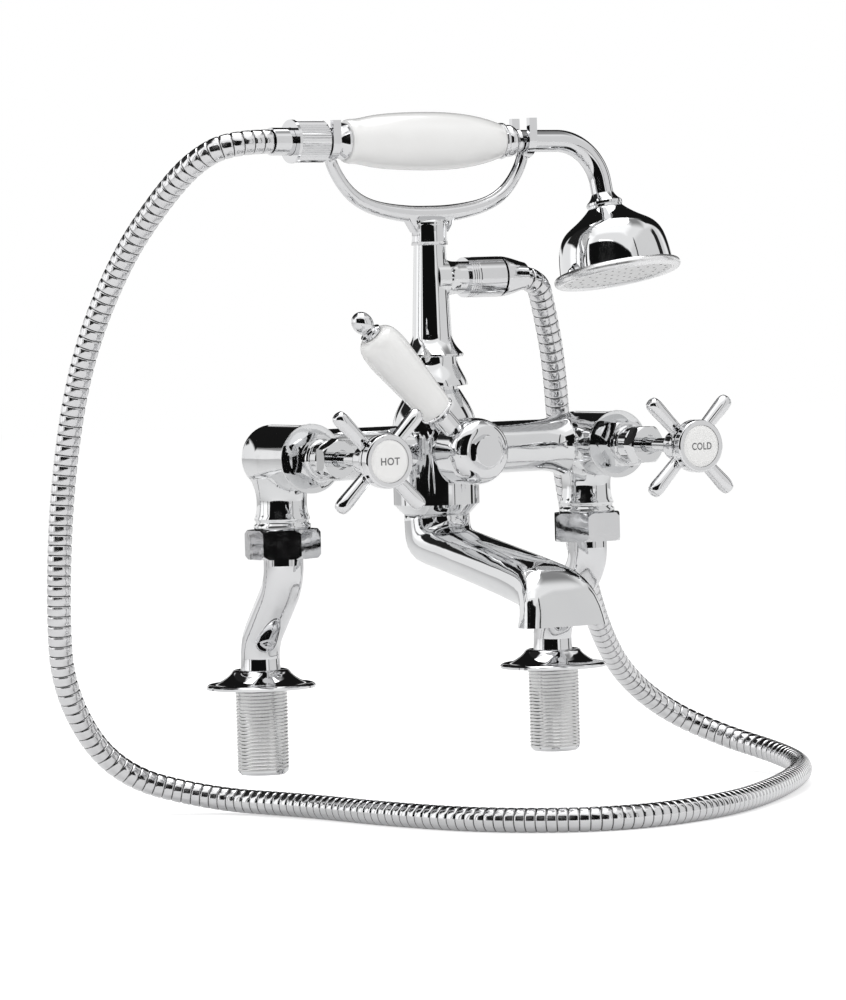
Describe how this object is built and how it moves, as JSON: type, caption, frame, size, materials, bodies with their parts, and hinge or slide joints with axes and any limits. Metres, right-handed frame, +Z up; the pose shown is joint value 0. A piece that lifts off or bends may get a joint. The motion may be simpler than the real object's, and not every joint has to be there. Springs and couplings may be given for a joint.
{
  "type": "bath shower mixer",
  "caption": "Deck-mounted bath mixer with crosshead valves, lever diverter, spout, and a cradled porcelain-handled handset on a metal hose.",
  "frame": {"origin": "on the deck plane, midway between the two tap-hole centres", "axes": "+Z up from the deck, +X to the cold side, -Y towards the bather"},
  "size_m": [0.4311, 0.2651, 0.3682],
  "materials": {
    "chrome": "polished chrome plate",
    "hose_metal": "chromed interlocked strip",
    "porcelain": "white gloss glaze",
    "brass": "plain machined",
    "rubber": "matt black"
  },
  "bodies": {
    "mixer": {"branch_ring": "chrome", "cold_bonnet": "chrome", "cold_flange": "chrome", "cold_gland_nut": "chrome", "cold_leg": "chrome", "cold_union_nut": "chrome", "cold_union_washer": "rubber", "column": "chrome", "column_union": "chrome", "cradle": "chrome", "diverter_bush": "chrome", "hose_cone": "chrome", "hose_nut": "chrome", "hose_washer": "rubber", "hot_bonnet": "chrome", "hot_flange": "chrome", "hot_gland_nut": "chrome", "hot_leg": "chrome", "hot_union_nut": "chrome", "hot_union_washer": "rubber", "shower_hose": "hose_metal", "spout": "chrome", "tap_body": "chrome"},
    "hot_jumper": {"hot_jumper": "brass", "hot_jumper_washer": "rubber"},
    "cold_jumper": {"cold_jumper": "brass", "cold_jumper_washer": "rubber"},
    "hot_handle": {"hot_spindle": "chrome", "hot_cross_head": "chrome", "hot_bezel": "chrome", "hot_button": "porcelain"},
    "cold_handle": {"cold_spindle": "chrome", "cold_cross_head": "chrome", "cold_bezel": "chrome", "cold_button": "porcelain"},
    "diverter_lever": {"diverter_spindle": "chrome", "lever_hub": "chrome", "lever_cap_nut": "chrome", "lever_collar": "chrome", "lever_grip": "porcelain", "lever_rod": "chrome", "lever_finial": "chrome"},
    "shuttle": {"diverter_shuttle": "brass", "shuttle_low_washer": "rubber", "shuttle_high_washer": "rubber"},
    "handset": {"handset_tail": "chrome", "handset_grip": "porcelain", "handset_collar": "chrome", "handset_pipe": "chrome", "shower_head": "chrome", "head_rim": "chrome", "spray_plate": "chrome", "swivel_nut": "chrome", "swivel_washer": "rubber", "hose_ferrule": "chrome"}
  },
  "joints": [
    {"name": "hot_rise", "type": "slide", "parent": "mixer", "child": "hot_jumper", "axis": [0, -1, 0], "range_m": [0, 0.004]},
    {"name": "hot_turn", "type": "hinge", "parent": "hot_jumper", "child": "hot_handle", "pos_m": [-0.093, -0.033, 0.121], "axis": [0, -1, 0], "range_deg": [0, 720]},
    {"name": "cold_rise", "type": "slide", "parent": "mixer", "child": "cold_jumper", "axis": [0, -1, 0], "range_m": [0, 0.004]},
    {"name": "cold_turn", "type": "hinge", "parent": "cold_jumper", "child": "cold_handle", "pos_m": [0.093, -0.033, 0.121], "axis": [0, -1, 0], "range_deg": [0, 720]},
    {"name": "lever_swing", "type": "hinge", "parent": "mixer", "child": "diverter_lever", "pos_m": [0, -0.033, 0.121], "axis": [0, 1, 0], "range_deg": [0, 85.8]},
    {"name": "shuttle_drop", "type": "slide", "parent": "mixer", "child": "shuttle", "axis": [0, 0, -1], "range_m": [0, 0.00817]},
    {"name": "handset_lift", "type": "slide", "parent": "mixer", "child": "handset", "axis": [0, 0, 1], "range_m": [0, 0.08]}
  ],
  "couplings": [
    {"joint": "hot_rise", "follows": "hot_turn", "m_per_rad": 0.0003183},
    {"joint": "cold_rise", "follows": "cold_turn", "m_per_rad": 0.0003183},
    {"joint": "shuttle_drop", "follows": "lever_swing", "m_per_rad": 0.005455}
  ]
}
